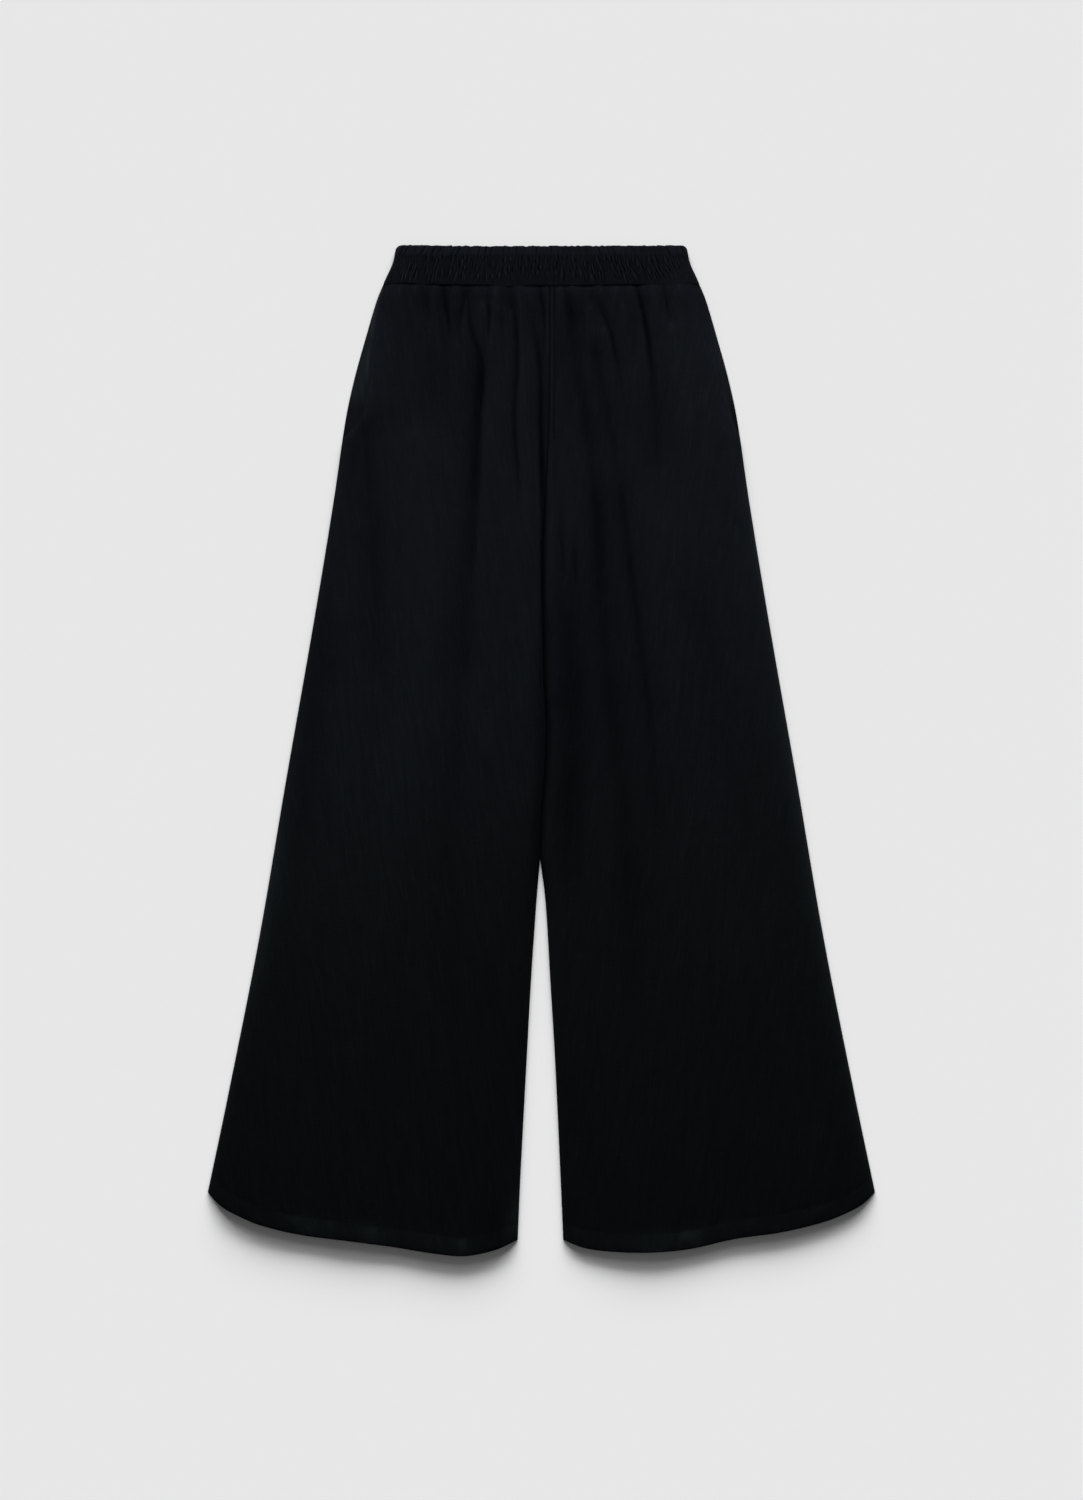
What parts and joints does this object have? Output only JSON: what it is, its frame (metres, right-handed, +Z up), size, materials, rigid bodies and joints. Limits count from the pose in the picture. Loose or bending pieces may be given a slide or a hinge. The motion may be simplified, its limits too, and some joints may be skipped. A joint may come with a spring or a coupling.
{
  "type": "culottes",
  "caption": "Long wide-legged pull-on culottes with a gathered elastic waist and side pockets, laid flat with the front up.",
  "frame": {"origin": "on the surface the garment lies on, below the middle of its outline", "axes": "+X towards the wearer's left side, +Y towards the waist, +Z up, out of the garment's front"},
  "size_m": [0.6666, 1.0092, 0.0073],
  "materials": {
    "linen": "matte near-black plain weave linen blend with fine cross slubs",
    "linen_casing": "the same matte linen, puckered over an elastic casing",
    "linen_facing": "the same matte linen, the right side of the pocket facings"
  },
  "bodies": {
    "root": {"waistband_front": "linen_casing", "waistband_back": "linen_casing", "front_leg_right": "linen", "front_leg_left": "linen", "back_leg_right": "linen", "back_leg_left": "linen", "pocket_facing_right": "linen_facing", "pocket_facing_left": "linen_facing"}
  },
  "joints": []
}
